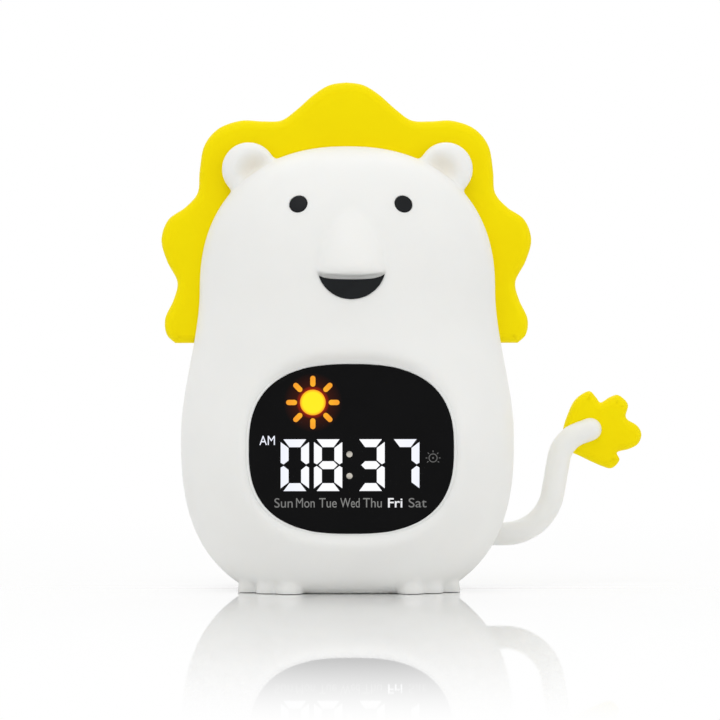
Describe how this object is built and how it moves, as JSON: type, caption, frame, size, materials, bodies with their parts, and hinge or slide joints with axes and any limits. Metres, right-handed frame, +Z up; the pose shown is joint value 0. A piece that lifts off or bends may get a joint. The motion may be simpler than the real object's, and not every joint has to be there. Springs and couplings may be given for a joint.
{
  "type": "kids alarm clock with night light",
  "caption": "Animal-shaped silicone night light and alarm clock with a scalloped mane, curled tail, dark display and rear push buttons.",
  "frame": {"origin": "middle of the flat base, on the surface that the clock stands on", "axes": "+Z up towards the crown, front face and display towards -Y, tail on the +X side"},
  "size_m": [0.1531, 0.0863, 0.16],
  "materials": {
    "white_silicone": "soft satin silicone",
    "yellow_silicone": "soft satin silicone",
    "dark_inlay": "satin",
    "lens_black": "high gloss tinted",
    "foam_tape": "matt foam",
    "diffuser_film": "frosted",
    "white_abs": "fine spark texture",
    "grey_rubber": "matt",
    "led_white": "clear lens over phosphor",
    "board_green": "solder mask",
    "board_white": "white solder mask",
    "chip_black": "moulded epoxy",
    "metal_plate": "nickel plated",
    "knob_grey": "satin",
    "magnet_dark": "zinc plated",
    "cone_black": "paper cone",
    "battery_foil": "foil pouch",
    "wire_red": "insulation",
    "ribbon_grey": "flat cable",
    "screw_steel": "zinc plated",
    "button_white": "satin"
  },
  "bodies": {
    "root": {"base_cover": "white_abs", "base_screws": "screw_steel", "battery_cell": "battery_foil", "battery_leads": "wire_red", "battery_pad": "foam_tape", "battery_tray": "white_abs", "board_chips": "chip_black", "board_screws": "screw_steel", "body_skin": "white_silicone", "case_screws": "screw_steel", "display_board": "board_green", "display_diffuser": "diffuser_film", "display_leds": "led_white", "display_lens": "lens_black", "display_reflector": "white_abs", "display_ribbon": "ribbon_grey", "display_screws": "screw_steel", "eye_left": "dark_inlay", "eye_right": "dark_inlay", "housing_front": "white_abs", "housing_rear": "white_abs", "lamp_board": "board_white", "lamp_leads": "wire_red", "lamp_leds": "led_white", "lamp_screws": "screw_steel", "lens_tape": "foam_tape", "main_board": "board_green", "mane": "yellow_silicone", "mouth_insert": "dark_inlay", "panel_screws": "screw_steel", "power_switch_case": "metal_plate", "rear_panel": "white_abs", "rubber_feet": "grey_rubber", "speaker_cone": "cone_black", "speaker_frame": "metal_plate", "speaker_gasket": "foam_tape", "speaker_magnet": "magnet_dark", "tact_switches": "chip_black", "tail_clip": "white_abs", "tail_stem": "white_silicone", "tail_tuft": "yellow_silicone", "usb_socket": "metal_plate"},
    "light_key": {"light_button": "button_white", "light_plunger": "chip_black"},
    "down_key": {"down_button": "button_white", "down_plunger": "chip_black"},
    "set_key": {"set_button": "button_white", "set_plunger": "chip_black"},
    "up_key": {"up_button": "button_white", "up_plunger": "chip_black"},
    "alarm_key": {"alarm_button": "button_white", "alarm_plunger": "chip_black"},
    "power_knob": {"power_switch_knob": "knob_grey"}
  },
  "joints": [
    {"name": "light_press", "type": "slide", "parent": "root", "child": "light_key", "axis": [0, -1, 0], "range_m": [0, 0.0005], "stiffness_N_per_m": 1500, "springref_m": -0.0004},
    {"name": "down_press", "type": "slide", "parent": "root", "child": "down_key", "axis": [0, -1, 0], "range_m": [0, 0.0005], "stiffness_N_per_m": 1500, "springref_m": -0.0004},
    {"name": "set_press", "type": "slide", "parent": "root", "child": "set_key", "axis": [0, -1, 0], "range_m": [0, 0.0005], "stiffness_N_per_m": 1500, "springref_m": -0.0004},
    {"name": "up_press", "type": "slide", "parent": "root", "child": "up_key", "axis": [0, -1, 0], "range_m": [0, 0.0005], "stiffness_N_per_m": 1500, "springref_m": -0.0004},
    {"name": "alarm_press", "type": "slide", "parent": "root", "child": "alarm_key", "axis": [0, -1, 0], "range_m": [0, 0.0005], "stiffness_N_per_m": 1500, "springref_m": -0.0004},
    {"name": "power_slide", "type": "slide", "parent": "root", "child": "power_knob", "axis": [1, 0, 0], "range_m": [0, 0.003]}
  ]
}
